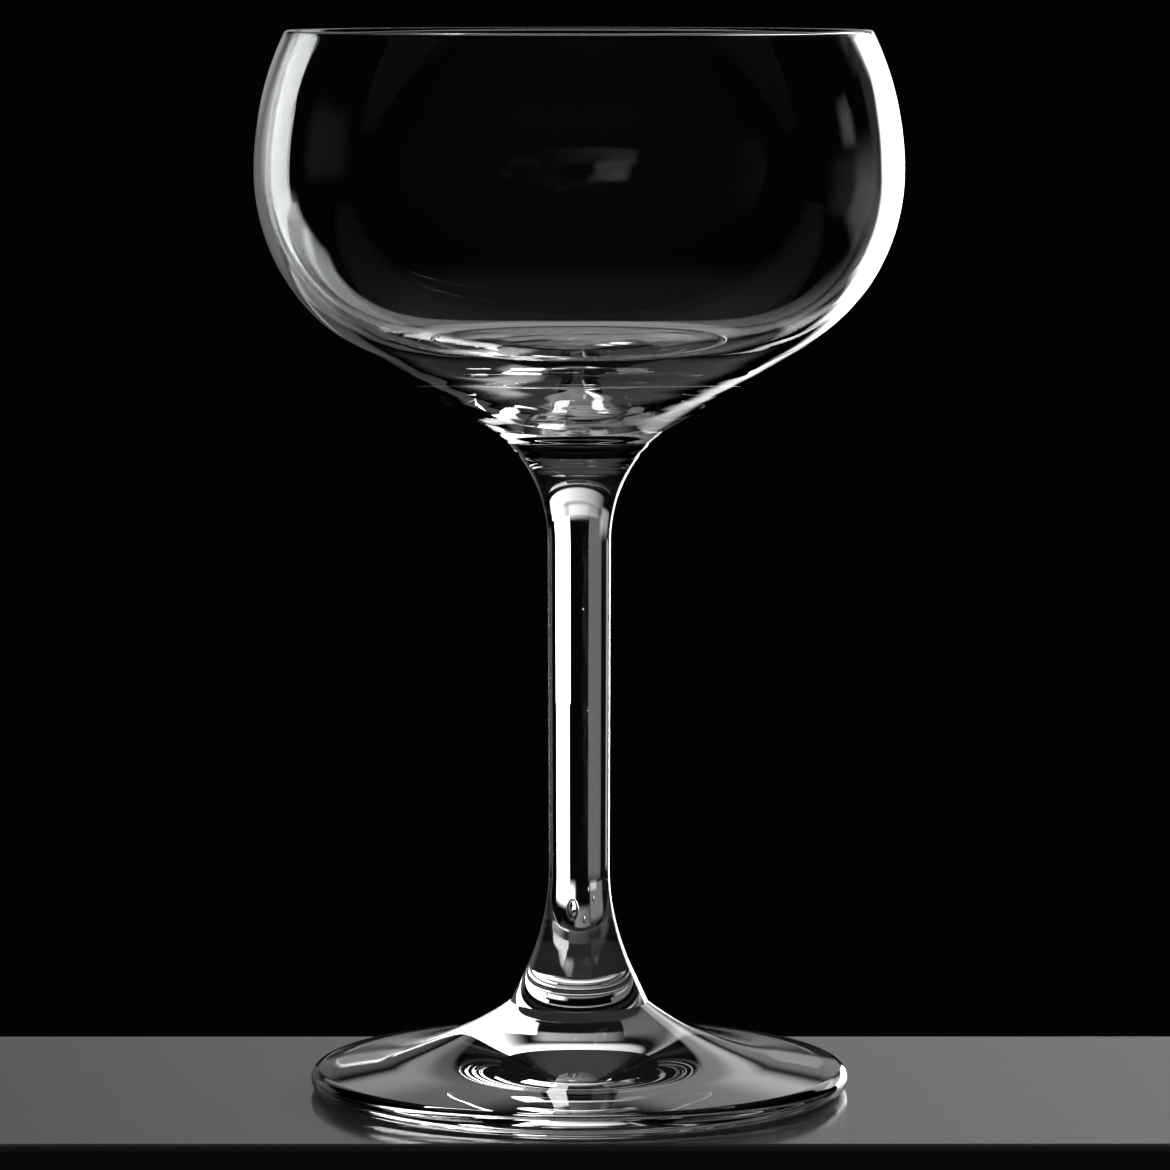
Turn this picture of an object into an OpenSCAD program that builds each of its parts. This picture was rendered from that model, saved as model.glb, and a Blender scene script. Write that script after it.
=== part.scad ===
// Coupe glass: a stemmed glass with a broad, shallow bowl.
// Three pieces of clear glass, melted to each other while hot: foot, stem and bowl.
// Every piece is turned about the Z axis. The origin is in the middle of the ring
// that the glass rests on, and +Z points up to the rim. Sizes are in millimetres.

/* [Foot] */
// Diameter of the foot
foot_d = 76.4; // [62:0.2:96]
// Thickness of the foot at its rounded edge
edge_t = 3.3; // [2.2:0.1:4.6]
// Height of the weld with the stem above the table
foot_h = 12.5; // [10:0.1:18]
// Slope of the foot's upper face at its edge, in degrees
apron_angle = 9.4; // [5:0.2:13]
// Radius of the hollow curve that rises from the apron to the stem
foot_cove_r = 44; // [20:1:70]
// Diameter of the weld with the stem
foot_weld_d = 19.5; // [17.5:0.1:24]
// Width of the flat ring that the foot rests on
ring_w = 2; // [0.5:0.1:12]
// Rise of the hollow under the foot, in its middle
hollow_h = 1.8; // [0.6:0.1:3.4]

/* [Stem] */
// Length of the stem from weld to weld
stem_l = 81.5; // [60:0.1:120]
// Diameter of the stem at its waist, low down, where it is slimmest
waist_d = 8.6; // [6.5:0.1:10]
// Diameter of the stem at its neck, where the upper flare starts
neck_d = 8.9; // [6.5:0.1:11]
// Radius of the upper flare
upper_flare_r = 20; // [11:0.5:34]
// Radius of the lower flare
lower_flare_r = 34; // [16:1:42]
// Lean of the stem's side where it meets the foot, in degrees from upright
lower_lean = 25; // [22:0.5:30]

/* [Bowl] */
// Height of the bowl from its weld to the top of the rim
bowl_h = 56; // [50:0.1:70]
// Diameter of the weld with the stem
bowl_weld_d = 24.7; // [16:0.1:30]
// Outer diameter at the rim
rim_d = 82.6; // [70:0.2:90]
// Outer diameter at the widest place
bowl_d = 91.4; // [84:0.2:110]
// Height of the widest place above the weld
widest_h = 36.4; // [34:0.1:44]
// Radius of the belly, the curve under the widest place
belly_r = 29.3; // [24:0.1:33]
// Thickness of the wall at the rim, which is rounded by flame
rim_t = 1.1; // [0.8:0.05:2]
// Thickness of the wall at the widest place
wall_t = 1.4; // [1:0.05:2.4]
// How much tighter the inside of the belly curves, so that the wall thickens downwards
belly_gain = 3; // [2:0.1:5]
// How much lower the inside of the belly lies than the outside
belly_drop = 0.3; // [0:0.1:1]
// Radius of the dished floor inside, on top of the solid base
floor_r = 190; // [80:5:400]

/* [Hidden] */

// Straight pieces of an arc, and faces round the axis
arc_steps = 28;
round_steps = 180;

glass_rgba = [0.84, 0.88, 0.89, 0.55];

// Welds
foot_weld_r = foot_weld_d / 2;
bowl_weld_r = bowl_weld_d / 2;
bowl_z = foot_h + stem_l;

// Foot: its edge is half a circle, and the apron line is tangent to it
edge_r = edge_t / 2;
edge_c = [foot_d / 2 - edge_r, edge_r];
apron_normal = [sin(apron_angle), cos(apron_angle)];
apron_dir = [-cos(apron_angle), sin(apron_angle)];
apron_start = edge_c + edge_r * apron_normal;
// The cove is tangent to the apron line and ends at the weld
cove_reach = apron_start + foot_cove_r * apron_normal - [foot_weld_r, foot_h];
cove_half = cove_reach * apron_dir;
cove_run = -cove_half - sqrt(cove_half * cove_half - cove_reach * cove_reach + foot_cove_r * foot_cove_r);
cove_c = apron_start + cove_run * apron_dir + foot_cove_r * apron_normal;
cove_end_angle = atan2(foot_h - cove_c[1], foot_weld_r - cove_c[0]);
// The hollow underneath is a shallow cap of a sphere
ring_r = edge_c[0] - ring_w;
hollow_r = (ring_r * ring_r + hollow_h * hollow_h) / (2 * hollow_h);
hollow_angle = asin(ring_r / hollow_r);

// Stem: the upper flare starts upright at the neck and ends at the bowl's weld
neck_r = neck_d / 2;
waist_r = waist_d / 2;
flare_c_r = neck_r + upper_flare_r;
flare_over = flare_c_r - bowl_weld_r;
flare_rise = sqrt(upper_flare_r * upper_flare_r - flare_over * flare_over);
neck_z = bowl_z - flare_rise;
flare_angle = atan2(flare_rise, flare_over);
// The lower flare leans out from the waist, and a straight skirt runs on to the foot
skirt_top_r = waist_r + lower_flare_r * (1 - cos(lower_lean));
skirt_top_z = foot_h + (foot_weld_r - skirt_top_r) / tan(lower_lean);
waist_z = skirt_top_z + lower_flare_r * sin(lower_lean);

// Bowl, outside: the underside is straight and tangent to the belly
wide_z = bowl_z + widest_h;
rim_z = bowl_z + bowl_h;
belly_c = [bowl_d / 2 - belly_r, wide_z];
weld_edge = [bowl_weld_r, bowl_z];
weld_far = norm(weld_edge - belly_c);
weld_bearing = atan2(weld_edge[1] - belly_c[1], weld_edge[0] - belly_c[0]);
belly_end = weld_bearing + acos(belly_r / weld_far);
// The side above it is an arc that is upright at the widest place and runs into the lip
lip_r = rim_t / 2;
lip_c = [rim_d / 2 - lip_r, rim_z - lip_r];
side_in = bowl_d / 2 - lip_c[0];
side_up = lip_c[1] - wide_z;
side_r = (side_in * side_in + side_up * side_up - lip_r * lip_r) / (2 * (side_in - lip_r));
side_c = [bowl_d / 2 - side_r, wide_z];
side_end = asin(side_up / (side_r - lip_r));

// Bowl, inside: the same arcs with their own sizes, so the wall thickens downwards
inner_r = bowl_d / 2 - wall_t;
inner_z = wide_z - belly_drop;
inner_belly_r = belly_r - belly_gain;
inner_belly_c = [inner_r - inner_belly_r, inner_z];
inner_in = inner_r - lip_c[0];
inner_up = lip_c[1] - inner_z;
inner_side_r = (inner_in * inner_in + inner_up * inner_up - lip_r * lip_r) / (2 * (inner_in + lip_r));
inner_side_c = [inner_r - inner_side_r, inner_z];
inner_side_end = asin(inner_up / (inner_side_r + lip_r));
// The floor is a dish that is tangent to the inner belly
floor_reach = floor_r - inner_belly_r;
floor_c_z = inner_z + sqrt(floor_reach * floor_reach - inner_belly_c[0] * inner_belly_c[0]);
floor_end = atan2(inner_belly_c[1] - floor_c_z, inner_belly_c[0]);

// Points of an arc about c, from angle from_a to angle to_a
function arc(c, r, from_a, to_a) = [
    for (i = [0:arc_steps])
        let (a = from_a + (to_a - from_a) * i / arc_steps)
            c + r * [cos(a), sin(a)]
];

// A piece of glass turned about the axis
module turned(outline) {
    color(glass_rgba)
        rotate_extrude($fn = round_steps)
            polygon(outline);
}

// The disc that the glass stands on
module foot() {
    turned(concat(
        arc([0, hollow_h - hollow_r], hollow_r, 90, 90 - hollow_angle),
        arc(edge_c, edge_r, -90, 90 - apron_angle),
        arc(cove_c, foot_cove_r, -90 - apron_angle, cove_end_angle),
        [[0, foot_h]]
    ));
}

// The solid stem, flared at both ends
module stem() {
    turned(concat(
        [[0, foot_h], [foot_weld_r, foot_h]],
        arc([waist_r + lower_flare_r, waist_z], lower_flare_r, 180 + lower_lean, 180),
        arc([flare_c_r, neck_z], upper_flare_r, 180, 180 - flare_angle),
        [[0, bowl_z]]
    ));
}

// The blown bowl, with its rounded lip, thickening wall and heavy base
module bowl() {
    turned(concat(
        [[0, bowl_z], weld_edge],
        arc(belly_c, belly_r, belly_end, 0),
        arc(side_c, side_r, 0, side_end),
        arc(lip_c, lip_r, side_end, 180 + inner_side_end),
        arc(inner_side_c, inner_side_r, inner_side_end, 0),
        arc(inner_belly_c, inner_belly_r, 0, floor_end),
        arc([0, floor_c_z], floor_r, floor_end, -90)
    ));
}

foot();
stem();
bowl();
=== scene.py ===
import bpy
from math import acos, asin, atan2, cos, degrees, hypot, pi, radians, sin, sqrt, tan
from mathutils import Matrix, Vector


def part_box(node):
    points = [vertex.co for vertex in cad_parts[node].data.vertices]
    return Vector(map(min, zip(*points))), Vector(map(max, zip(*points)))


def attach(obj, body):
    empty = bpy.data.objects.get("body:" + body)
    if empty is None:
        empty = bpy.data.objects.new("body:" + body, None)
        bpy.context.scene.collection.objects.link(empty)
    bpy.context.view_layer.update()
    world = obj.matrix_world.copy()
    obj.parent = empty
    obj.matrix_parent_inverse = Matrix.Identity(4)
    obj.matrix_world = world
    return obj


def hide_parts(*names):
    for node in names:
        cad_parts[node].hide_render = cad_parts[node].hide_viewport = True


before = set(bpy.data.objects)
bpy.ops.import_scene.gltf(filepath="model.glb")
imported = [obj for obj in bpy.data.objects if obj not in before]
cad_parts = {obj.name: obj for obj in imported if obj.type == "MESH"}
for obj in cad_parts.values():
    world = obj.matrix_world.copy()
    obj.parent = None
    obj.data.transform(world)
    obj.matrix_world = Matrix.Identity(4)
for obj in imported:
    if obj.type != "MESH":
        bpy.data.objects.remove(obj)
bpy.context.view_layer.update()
mm = 0.001
print("frame loaded:", sorted(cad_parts))

scene = bpy.context.scene
scene.view_settings.view_transform = "Standard"  # plain contrast, whites may clip as in the photograph


# Camera, at the photograph's angle: long lens, just above the rim and looking down a little.
# Lengths are in millimetres here and below, and angles in degrees

cameraSet = {"distance": 830, "height": 159.1, "down": 5.996, "aside": 0.056, "lens": 181.7,
             "sensor": 36, "seesFrom": 10, "seesTo": 20000}


def addCamera(c):
    data = bpy.data.cameras.new("studioCamera")
    data.lens = c["lens"]
    data.sensor_width = c["sensor"]
    data.clip_start = c["seesFrom"] * mm
    data.clip_end = c["seesTo"] * mm
    camera = bpy.data.objects.new("studioCamera", data)
    scene.collection.objects.link(camera)
    camera.location = (0, -c["distance"] * mm, c["height"] * mm)
    camera.rotation_euler = (radians(90 - c["down"]), 0, radians(-c["aside"]))
    scene.camera = camera


addCamera(cameraSet)
print("camera set")


# Materials

def linearColour(hexColour):
    parts = [int(hexColour[i:i + 2], 16) / 255 for i in (0, 2, 4)]
    parts = [v / 12.92 if v <= 0.04045 else ((v + 0.055) / 1.055) ** 2.4 for v in parts]
    return (*parts, 1)


def addNode(tree, kind, settings=(), links=()):
    node = tree.nodes.new(kind)
    for name, value in dict(settings).items():
        if isinstance(name, int) or name in node.inputs:
            node.inputs[name].default_value = value
        else:
            setattr(node, name, value)
    for name, source in dict(links).items():
        tree.links.new(source, node.inputs[name])
    return node


def newMaterial(name):
    material = bpy.data.materials.new(name)
    material.use_nodes = True
    material.node_tree.nodes.clear()
    return material, material.node_tree


# "wave" and "ripple" are the widths of two noises, and "bump" is the height of the first. The ripple is
# "rippleTimes" as high, sets in over the heights in "rippleIn" and dies away over those in "rippleOut".
# "acrossShare" is how much it varies across the glass, next to how much it varies from ring to ring
glassSet = {"colour": "fcfefd", "ior": 1.52, "bump": 0.02, "wave": 14, "ripple": 6, "rippleTimes": 12.0,
            "rippleIn": (92, 98), "rippleOut": (101, 106), "acrossShare": 0.4,
            "noiseDetail": 1.0, "noiseRough": 0.4}


def makeClearGlass(c):
    # Soda-lime crystal glass, blown and fire polished: colourless, mirror smooth, with a slow waviness
    material, tree = newMaterial("clearSodaLimeGlass")
    place = addNode(tree, "ShaderNodeTexCoord").outputs["Object"]
    grain = {"Detail": c["noiseDetail"], "Roughness": c["noiseRough"]}
    wave = addNode(tree, "ShaderNodeTexNoise", {"Scale": 1 / (c["wave"] * mm), **grain}, {"Vector": place})
    # The thick base of the bowl was turned and worked with tools, so it ripples more, mostly in rings
    split = addNode(tree, "ShaderNodeSeparateXYZ", links={"Vector": place})
    flat = addNode(tree, "ShaderNodeVectorMath", {"operation": "MULTIPLY", 1: (1, 1, 0)}, {0: place})
    radius = addNode(tree, "ShaderNodeVectorMath", {"operation": "LENGTH"}, {0: flat.outputs["Vector"]})
    ring = addNode(tree, "ShaderNodeMath", {"operation": "ADD"},
                   {0: radius.outputs["Value"], 1: split.outputs["Z"]})
    rings = addNode(tree, "ShaderNodeCombineXYZ", links={"Z": ring.outputs["Value"]})
    share = c["acrossShare"]
    lie = addNode(tree, "ShaderNodeVectorMath", {"operation": "MULTIPLY_ADD", 1: (share, share, 0)},
                  {0: place, 2: rings.outputs["Vector"]})
    ripple = addNode(tree, "ShaderNodeTexNoise", {"Scale": 1 / (c["ripple"] * mm), **grain},
                     {"Vector": lie.outputs["Vector"]})
    low, high = c["rippleIn"], c["rippleOut"]
    above = addNode(tree, "ShaderNodeMapRange",
                    {"interpolation_type": "SMOOTHSTEP", "From Min": low[0] * mm, "From Max": low[1] * mm,
                     "To Max": c["rippleTimes"]}, {"Value": split.outputs["Z"]})
    below = addNode(tree, "ShaderNodeMapRange",
                    {"interpolation_type": "SMOOTHSTEP", "From Min": high[1] * mm,
                     "From Max": high[0] * mm}, {"Value": split.outputs["Z"]})
    times = addNode(tree, "ShaderNodeMath", {"operation": "MULTIPLY"},
                    {0: above.outputs["Result"], 1: below.outputs["Result"]})
    height = addNode(tree, "ShaderNodeMath", {"operation": "MULTIPLY_ADD"},
                     {0: ripple.outputs["Fac"], 1: times.outputs["Value"], 2: wave.outputs["Fac"]})
    bump = addNode(tree, "ShaderNodeBump", {"Strength": 1.0, "Distance": c["bump"] * mm},
                   {"Height": height.outputs["Value"]})
    glass = addNode(tree, "ShaderNodeBsdfPrincipled",
                    {"Base Color": linearColour(c["colour"]), "Roughness": 0.0, "IOR": c["ior"],
                     "Transmission Weight": 1.0}, {"Normal": bump.outputs["Normal"]})
    addNode(tree, "ShaderNodeOutputMaterial", links={"Surface": glass.outputs["BSDF"]})
    return material


def makeFusedGlass():
    # The inside of a weld: glass meets glass without a border, so light passes straight through
    material, tree = newMaterial("fusedGlassWeld")
    clear = addNode(tree, "ShaderNodeBsdfTransparent", {"Color": linearColour("ffffff")})
    addNode(tree, "ShaderNodeOutputMaterial", links={"Surface": clear.outputs["BSDF"]})
    return material


clearGlass = makeClearGlass(glassSet)
fusedGlass = makeFusedGlass()
print("materials made")


# Shaping: an outline of points (radius, height) is drawn edge by edge and spun about the axis. The
# sizes of the three pieces are those of the CAD, so each piece fills its own place in the frame

spinSet = {"turns": 288, "merge": 0.002, "weldGap": 0.001, "smooth": 35}


def arcPoints(centre, radius, fromAngle, toAngle, steps):
    turns = [fromAngle + (toAngle - fromAngle) * i / steps for i in range(steps + 1)]
    return [(centre[0] + radius * cos(radians(a)), centre[1] + radius * sin(radians(a))) for a in turns]


def spinOutline(name, outline, turns, weldHeights):
    bpy.ops.object.select_all(action="DESELECT")
    bpy.ops.mesh.primitive_circle_add(vertices=3, radius=outline[1][0], location=(0, 0, 0))
    piece = bpy.context.object
    piece.name = name
    piece.data.name = name
    bpy.ops.object.mode_set(mode="EDIT")
    bpy.ops.mesh.select_all(action="SELECT")
    bpy.ops.mesh.merge(type="CENTER")
    bpy.ops.transform.translate(value=(outline[0][0], 0, outline[0][1]))
    for start, end in zip(outline, outline[1:]):
        step = (end[0] - start[0], 0, end[1] - start[1])
        bpy.ops.mesh.extrude_region_move(TRANSFORM_OT_translate={"value": step})
    bpy.ops.mesh.select_all(action="SELECT")
    bpy.ops.mesh.spin(steps=turns, angle=2 * pi, center=(0, 0, 0), axis=(0, 0, 1))
    bpy.ops.mesh.select_all(action="SELECT")
    bpy.ops.mesh.remove_doubles(threshold=spinSet["merge"] * mm)
    bpy.ops.mesh.normals_make_consistent(inside=False)
    bpy.ops.object.mode_set(mode="OBJECT")
    bpy.ops.object.transform_apply(location=True, rotation=True, scale=True)
    bpy.ops.object.shade_smooth_by_angle(angle=radians(spinSet["smooth"]))
    piece.data.materials.append(clearGlass)
    piece.data.materials.append(fusedGlass)
    for face in piece.data.polygons:
        heights = [piece.data.vertices[v].co.z / mm for v in face.vertices]
        if any(max(abs(h - weld) for h in heights) < spinSet["weldGap"] for weld in weldHeights):
            face.material_index = 1
    return piece


def mmOutline(points):
    return [(r * mm, z * mm) for r, z in points]


# The heights of the two welds and of the rim come from the frame
footWeldZ, bowlWeldZ, rimZ = (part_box(node)[1][2] / mm for node in ("foot", "stem", "bowl"))


# Foot: a disc with a rounded edge, hollow underneath, that rises to the stem in a cove

footSet = {"edge": 3.3, "apron": 9.4, "cove": 44, "weld": 19.5, "ring": 2, "hollow": 1.8,
           "hollowSteps": 30, "edgeSteps": 36, "coveSteps": 40}


def footOutline(c):
    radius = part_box("foot")[1][0] / mm
    edgeR = c["edge"] / 2
    edgeC = (radius - edgeR, edgeR)
    lean = radians(c["apron"])
    normal = (sin(lean), cos(lean))
    inward = (-cos(lean), sin(lean))
    start = [edgeC[i] + edgeR * normal[i] for i in (0, 1)]
    weld = (c["weld"] / 2, footWeldZ)
    reach = [start[i] + c["cove"] * normal[i] - weld[i] for i in (0, 1)]
    half = reach[0] * inward[0] + reach[1] * inward[1]
    run = -half - sqrt(half * half - reach[0] ** 2 - reach[1] ** 2 + c["cove"] ** 2)
    coveC = [start[i] + run * inward[i] + c["cove"] * normal[i] for i in (0, 1)]
    coveEnd = degrees(atan2(weld[1] - coveC[1], weld[0] - coveC[0]))
    ringR = edgeC[0] - c["ring"]
    hollowR = (ringR ** 2 + c["hollow"] ** 2) / (2 * c["hollow"])
    hollowAngle = degrees(asin(ringR / hollowR))
    points = arcPoints((0, c["hollow"] - hollowR), hollowR, 90, 90 - hollowAngle, c["hollowSteps"])
    points += arcPoints(edgeC, edgeR, -90, 90 - c["apron"], c["edgeSteps"])
    points += arcPoints(coveC, c["cove"], -90 - c["apron"], coveEnd, c["coveSteps"])
    return mmOutline(points + [(0, footWeldZ)])


foot = spinOutline("glassFoot", footOutline(footSet), spinSet["turns"], [footWeldZ])
print("foot made:", len(foot.data.polygons), "faces")


# Stem: solid, slimmest low down, flared at both ends

# "rings" is how far under the bowl's weld the two shallow rings start and end
stemSet = {"waist": 8.6, "neck": 8.9, "upperFlare": 20, "lowerFlare": 34, "lean": 25, "bowlWeld": 24.7,
           "rings": (4.2, 0.9), "ringDepth": 0.13, "lowerSteps": 40, "upperSteps": 110}


def stemOutline(c):
    neckR, waistR, topR, footR = c["neck"] / 2, c["waist"] / 2, c["bowlWeld"] / 2, footSet["weld"] / 2
    upper, lower, lean = c["upperFlare"], c["lowerFlare"], radians(c["lean"])
    flareC = neckR + upper
    flareRise = sqrt(upper ** 2 - (flareC - topR) ** 2)
    flareAngle = degrees(atan2(flareRise, flareC - topR))
    skirtR = waistR + lower * (1 - cos(lean))
    skirtZ = footWeldZ + (footR - skirtR) / tan(lean)
    waistZ = skirtZ + lower * sin(lean)
    points = [(0, footWeldZ), (footR, footWeldZ)]
    points += arcPoints((waistR + lower, waistZ), lower, 180 + c["lean"], 180, c["lowerSteps"])
    flare = arcPoints((flareC, bowlWeldZ - flareRise), upper, 180, 180 - flareAngle, c["upperSteps"])
    # Two shallow rings just under the weld, where the stem was joined while it turned
    low, high = (bowlWeldZ - z for z in c["rings"])
    for r, z in flare:
        share = (z - low) / (high - low)
        dip = c["ringDepth"] * (1 - cos(4 * pi * share)) / 2 if 0 < share < 1 else 0
        points.append((r - dip, z))
    return mmOutline(points + [(0, bowlWeldZ)])


stem = spinOutline("glassStem", stemOutline(stemSet), spinSet["turns"], [footWeldZ, bowlWeldZ])

# Seeds: the small bubbles that the photograph shows inside the stem. Each is a hollow in the glass, so
# its faces point into the bubble
seedSteps, seedTurns = 10, 16
seedSet = [
    {"at": (0.35, -0.6, 68.7), "wide": 0.26, "tall": 0.5},
    {"at": (0.7, 0.4, 54.2), "wide": 0.24, "tall": 0.4},
    {"at": (-0.7, -0.8, 25.6), "wide": 1.3, "tall": 3.4},
    {"at": (0.5, -1.0, 24.2), "wide": 0.3, "tall": 1.2},
    {"at": (0.9, -0.5, 28.6), "wide": 0.16, "tall": 1.0},
    {"at": (1.4, -0.5, 27.2), "wide": 0.2, "tall": 1.0},
]


def addSeed(c):
    half = arcPoints((0, 0), 1, -90, 90, seedSteps)
    side = [(c["wide"] / 2 * r, c["tall"] / 2 * z) for r, z in half]
    side[0], side[-1] = (0, side[0][1]), (0, side[-1][1])  # both poles lie on the axis
    spinOutline("stemSeed", mmOutline(side), seedTurns, [])
    bpy.ops.object.mode_set(mode="EDIT")
    bpy.ops.mesh.select_all(action="SELECT")
    bpy.ops.mesh.flip_normals()
    bpy.ops.transform.translate(value=[v * mm for v in c["at"]])
    bpy.ops.object.mode_set(mode="OBJECT")
    stem.select_set(True)
    bpy.context.view_layer.objects.active = stem
    bpy.ops.object.join()


for seed in seedSet:
    addSeed(seed)
print("stem made:", len(stem.data.polygons), "faces")


# Bowl: thin at the rounded lip, thicker downwards, with a heavy base over the stem

bowlSet = {"rim": 82.6, "widest": 36.4, "belly": 29.3, "rimWall": 1.1, "wall": 1.4, "gain": 3,
           "drop": 0.3, "floor": 190, "crease": 0.7, "creaseDepth": 0.1,
           "bellySteps": 60, "sideSteps": 30, "lipSteps": 20, "creaseSteps": 4, "floorSteps": 20}


def bowlOutline(c):
    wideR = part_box("bowl")[1][0] / mm
    weld = (stemSet["bowlWeld"] / 2, bowlWeldZ)
    wideZ = bowlWeldZ + c["widest"]
    bellyC = (wideR - c["belly"], wideZ)
    far = hypot(weld[0] - bellyC[0], weld[1] - bellyC[1])
    bellyEnd = degrees(atan2(weld[1] - bellyC[1], weld[0] - bellyC[0]) + acos(c["belly"] / far))
    lipR = c["rimWall"] / 2
    lipC = (c["rim"] / 2 - lipR, rimZ - lipR)
    sideIn, sideUp = wideR - lipC[0], lipC[1] - wideZ
    sideR = (sideIn ** 2 + sideUp ** 2 - lipR ** 2) / (2 * (sideIn - lipR))
    sideEnd = degrees(asin(sideUp / (sideR - lipR)))
    innerR, innerZ = wideR - c["wall"], wideZ - c["drop"]
    innerBelly = c["belly"] - c["gain"]
    innerBellyC = (innerR - innerBelly, innerZ)
    innerIn, innerUp = innerR - lipC[0], lipC[1] - innerZ
    innerSide = (innerIn ** 2 + innerUp ** 2 - lipR ** 2) / (2 * (innerIn + lipR))
    innerEnd = degrees(asin(innerUp / (innerSide + lipR)))
    reach = c["floor"] - innerBelly
    floorZ = innerZ + sqrt(reach ** 2 - innerBellyC[0] ** 2)
    floorEnd = degrees(atan2(innerBellyC[1] - floorZ, innerBellyC[0]))
    points = [(0, bowlWeldZ), weld]
    points += arcPoints(bellyC, c["belly"], bellyEnd, 0, c["bellySteps"])
    points += arcPoints((wideR - sideR, wideZ), sideR, 0, sideEnd, c["sideSteps"])[1:]
    points += arcPoints(lipC, lipR, sideEnd, 180 + innerEnd, c["lipSteps"])[1:]
    points += arcPoints((innerR - innerSide, innerZ), innerSide, innerEnd, 0, c["sideSteps"])[1:]
    belly = arcPoints(innerBellyC, innerBelly, 0, floorEnd, c["bellySteps"])
    points += belly[1:-1]
    # A fine crease runs round the floor, where it meets the belly
    join, slope = belly[-1], tan(radians(90 + floorEnd))
    for i in range(-c["creaseSteps"], c["creaseSteps"] + 1):
        part = i / c["creaseSteps"]
        along, dip = -part * c["crease"] / 2, c["creaseDepth"] * (1 + cos(pi * part)) / 2
        points.append((join[0] + along, join[1] + along * slope - dip))
    points += arcPoints((0, floorZ), c["floor"], floorEnd, -90, c["floorSteps"])[1:]
    return mmOutline(points)


bowl = spinOutline("glassBowl", bowlOutline(bowlSet), spinSet["turns"], [bowlWeldZ])
print("bowl made:", len(bowl.data.polygons), "faces")

for piece, node in ((foot, "foot"), (stem, "stem"), (bowl, "bowl")):
    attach(piece, "root")
    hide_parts(node)


# Studio: a plain pale floor, a dark room and soft lights

floorSet = {"width": 1400, "front": 42.5, "back": 41, "thick": 20, "edge": 1.5, "edgeSteps": 3,
            "tones": ("a7a6a3", "b1b0ad"), "mottle": 40, "mottleDetail": 3.0, "rough": 0.12}


def makeFloorPaint(c):
    # Satin-painted board: pale, even and lightly mottled, smooth enough to mirror what stands on it
    material, tree = newMaterial("satinPaleBoard")
    place = addNode(tree, "ShaderNodeTexCoord")
    mottle = addNode(tree, "ShaderNodeTexNoise",
                     {"Scale": 1 / (c["mottle"] * mm), "Detail": c["mottleDetail"]},
                     {"Vector": place.outputs["Object"]})
    dark, light = (linearColour(tone) for tone in c["tones"])
    tone = addNode(tree, "ShaderNodeMix", {"data_type": "RGBA", "A": dark, "B": light},
                   {"Factor": mottle.outputs["Fac"]})
    board = addNode(tree, "ShaderNodeBsdfPrincipled", {"Roughness": c["rough"]},
                    {"Base Color": tone.outputs["Result"]})
    addNode(tree, "ShaderNodeOutputMaterial", links={"Surface": board.outputs["BSDF"]})
    return material


def addFloor(c):
    bpy.ops.object.select_all(action="DESELECT")
    middle = (0, (c["back"] - c["front"]) / 2 * mm, -c["thick"] / 2 * mm)
    size = (c["width"] * mm, (c["front"] + c["back"]) * mm, c["thick"] * mm)
    bpy.ops.mesh.primitive_cube_add(size=1, location=middle, scale=size)
    floor = bpy.context.object
    floor.name = "paleFloor"
    bpy.ops.object.mode_set(mode="EDIT")
    bpy.ops.mesh.select_all(action="SELECT")
    bpy.ops.mesh.bevel(offset=c["edge"] * mm, segments=c["edgeSteps"])
    bpy.ops.object.mode_set(mode="OBJECT")
    bpy.ops.object.transform_apply(location=True, rotation=True, scale=True)
    floor.data.materials.append(makeFloorPaint(c))


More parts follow.
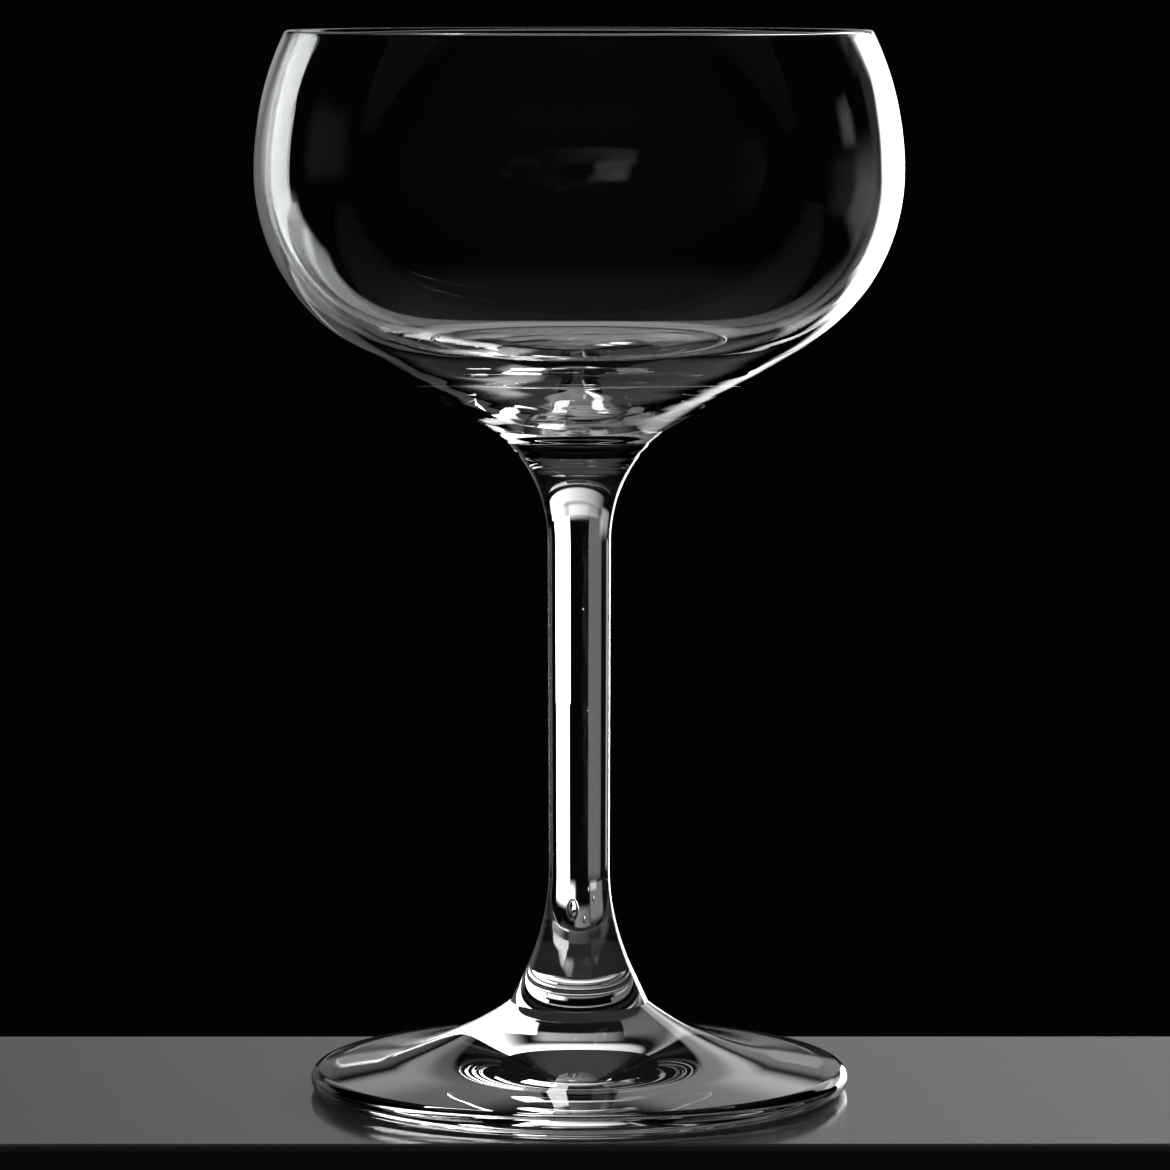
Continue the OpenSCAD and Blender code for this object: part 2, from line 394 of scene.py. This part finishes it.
# Soft panels. "from" and "to" are turns, measured from straight behind the glass and positive to the
# right, and "low" and "high" are heights. "far" is the distance from the axis. "glow" is the panel's own
# radiance at its left and right end, "curve" bends the run between them, and "soft" is the share over
# which each edge fades: left, right, low, high
panelFar = 1800
lightSet = [
    {"name": "rightPanel", "from": 11, "to": 38, "low": -173, "high": 350, "glow": (5, 5),
     "soft": (0.06, 0, 0, 0.08)},
    {"name": "rightLowPanel", "from": 12.5, "to": 37, "low": -720, "high": -173, "glow": (5, 5),
     "soft": (0.06, 0, 0.45, 0)},
    {"name": "rightHighPanel", "from": 14, "to": 44, "low": 333, "high": 735, "glow": (1.0, 2.8),
     "soft": (0.4, 0.1, 0, 0.3)},
    {"name": "rightFootPanel", "from": 3.5, "to": 12.5, "low": -860, "high": -340, "glow": (1.0, 2.6),
     "soft": (0.4, 0, 0.4, 0.3)},
    {"name": "rightFarPanel", "from": 50, "to": 84, "low": -400, "high": 300, "glow": (0.06, 0.06),
     "soft": (0.3, 0.3, 0.3, 0.3)},
    {"name": "topPanel", "from": -34, "to": 46, "low": 560, "high": 1150, "glow": (0.05, 2.4), "curve": 1.4,
     "soft": (0.1, 0.1, 0.2, 0.2)},
    {"name": "backPanel", "from": -14, "to": 14, "low": 430, "high": 1250, "far": 4000, "glow": (0.12, 0.6),
     "soft": (0.2, 0.2, 0.2, 0.3)},
    {"name": "capPanel", "from": -30, "to": 26, "low": 132, "high": 225, "far": 420, "glow": (0.16, 0.9),
     "soft": (0.2, 0.12, 0.2, 0.5)},
    {"name": "backLowPanel", "from": -16, "to": 7, "low": -960, "high": -600, "glow": (0.1, 0.3),
     "soft": (0.2, 0.2, 0.1, 0.3)},
    {"name": "lowBackPanel", "from": -26, "to": 26, "low": -1700, "high": -380, "far": 800,
     "glow": (0.12, 0.28), "soft": (0.15, 0.15, 0.1, 0.15)},
    {"name": "lowSpotPanel", "from": -17, "to": -8, "low": -1200, "high": -450, "far": 800,
     "glow": (2.2, 2.2), "soft": (0.3, 0.3, 0.3, 0.3)},
    {"name": "leftPanel", "from": -54, "to": -26, "low": -120, "high": 640, "glow": (0.28, 0.48),
     "soft": (0.2, 0.3, 0.5, 0.2)},
    {"name": "leftFarPanel", "from": -62, "to": -50, "low": -320, "high": 0, "glow": (0.45, 0.45),
     "soft": (0.4, 0.1, 0.3, 0.3)},
    {"name": "leftNearPanel", "from": -36, "to": -12, "low": -440, "high": 460, "glow": (0.15, 0.15),
     "soft": (0.2, 0, 0.2, 0.2)},
    {"name": "leftLowPanel", "from": -40, "to": -13, "low": -960, "high": -400, "glow": (0.2, 0.2),
     "soft": (0.2, 0.1, 0.3, 0)},
    {"name": "leftStripPanel", "from": -27, "to": -13, "low": -500, "high": -350, "glow": (0.45, 0.45),
     "soft": (0.3, 0.3, 0.4, 0.4)},
]


def addPanel(c):
    data = bpy.data.lights.new(c["name"], "AREA")
    data.shape = "RECTANGLE"
    middle = radians((c["from"] + c["to"]) / 2)
    far = c.get("far", panelFar) * mm
    data.size = 2 * far * tan(radians((c["to"] - c["from"]) / 2))
    data.size_y = (c["high"] - c["low"]) * mm
    data.energy = pi * data.size * data.size_y
    data.use_nodes = True
    tree = data.node_tree
    place = addNode(tree, "ShaderNodeNewGeometry")
    across = addNode(tree, "ShaderNodeSeparateXYZ", links={"Vector": place.outputs["Parametric"]})
    back = addNode(tree, "ShaderNodeMath", {"operation": "SUBTRACT", 0: 1.0}, {1: across.outputs["X"]})
    down = addNode(tree, "ShaderNodeMath", {"operation": "SUBTRACT", 0: 1.0}, {1: across.outputs["Y"]})
    run = addNode(tree, "ShaderNodeMath", {"operation": "POWER", 1: c.get("curve", 1.0)},
                  {0: back.outputs["Value"]})
    glow = addNode(tree, "ShaderNodeMapRange", {"To Min": c["glow"][0], "To Max": c["glow"][1]},
                   {"Value": run.outputs["Value"]}).outputs["Result"]
    sides = (back.outputs["Value"], across.outputs["X"], across.outputs["Y"], down.outputs["Value"])
    for side, share in zip(sides, c["soft"]):
        if share:
            fade = addNode(tree, "ShaderNodeMapRange",
                           {"interpolation_type": "SMOOTHSTEP", "From Max": share}, {"Value": side})
            glow = addNode(tree, "ShaderNodeMath", {"operation": "MULTIPLY"},
                           {0: glow, 1: fade.outputs["Result"]}).outputs["Value"]
    tree.links.new(glow, tree.nodes["Emission"].inputs["Strength"])
    light = bpy.data.objects.new(c["name"], data)
    scene.collection.objects.link(light)
    light.location = (far * sin(middle), far * cos(middle), (c["high"] + c["low"]) / 2 * mm)
    aim = Vector((0, 0, light.location.z)) - light.location
    light.rotation_euler = aim.to_track_quat("-Z", "Y").to_euler()


addFloor(floorSet)
for panel in lightSet:
    addPanel(panel)


# Each glow has its strength and where it fades in: "ceiling" by how far a direction lies along "up",
# and "front" by how far it points at the camera's side
roomSet = {"colour": "f4f8fb", "dark": 0.001, "up": (0, 0.34, 0.94),
           "ceiling": (0.055, 0.7, 0.9), "front": (0.006, -0.1, -0.9)}


def addRoom(c):
    # A dark room: black behind the glass, a faint glow from the ceiling and from the camera's side
    world = bpy.data.worlds.new("darkRoom")
    scene.world = world
    world.use_nodes = True
    tree = world.node_tree
    place = addNode(tree, "ShaderNodeTexCoord").outputs["Generated"]
    aim = addNode(tree, "ShaderNodeSeparateXYZ", links={"Vector": place})
    tilt = addNode(tree, "ShaderNodeVectorMath", {"operation": "DOT_PRODUCT", 1: c["up"]}, {0: place})
    glows = []
    for key, source in (("ceiling", tilt.outputs["Value"]), ("front", aim.outputs["Y"])):
        strength, fadeFrom, fadeTo = c[key]
        fade = addNode(tree, "ShaderNodeMapRange",
                       {"interpolation_type": "SMOOTHSTEP", "From Min": fadeFrom, "From Max": fadeTo,
                        "To Max": strength}, {"Value": source})
        glows.append(fade.outputs["Result"])
    both = addNode(tree, "ShaderNodeMath", {"operation": "ADD"}, {0: glows[0], 1: glows[1]})
    base = addNode(tree, "ShaderNodeMath", {"operation": "ADD", 1: c["dark"]}, {0: both.outputs["Value"]})
    tree.links.new(base.outputs["Value"], tree.nodes["Background"].inputs["Strength"])
    tree.nodes["Background"].inputs["Color"].default_value = linearColour(c["colour"])


addRoom(roomSet)
print("studio set")
